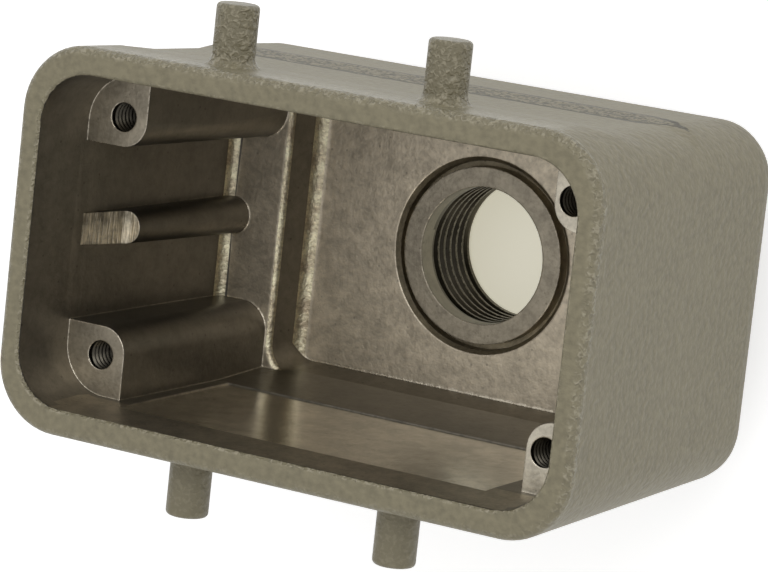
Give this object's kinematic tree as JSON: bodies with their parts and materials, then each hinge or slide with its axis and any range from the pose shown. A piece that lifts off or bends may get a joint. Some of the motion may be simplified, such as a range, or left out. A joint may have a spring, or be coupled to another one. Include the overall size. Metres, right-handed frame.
{
  "type": "rectangular connector hood",
  "caption": "Die-cast hood of a rectangular cable connector, with locking pegs, an open mouth with screw bosses for the contact insert, and a threaded round cable entry.",
  "frame": {"origin": "bottom centre of the bounding box: the face of the cable entry's neck, on the entry's axis", "axes": "+X along the long side of the mouth, +Y towards the long side with the shallow recess, +Z out of the mouth"},
  "size_m": [0.0728, 0.057, 0.055],
  "materials": {
    "hood": "orange-peel paint outside, bare cast metal inside"
  },
  "bodies": {
    "root": {"hood": "hood"}
  },
  "joints": []
}
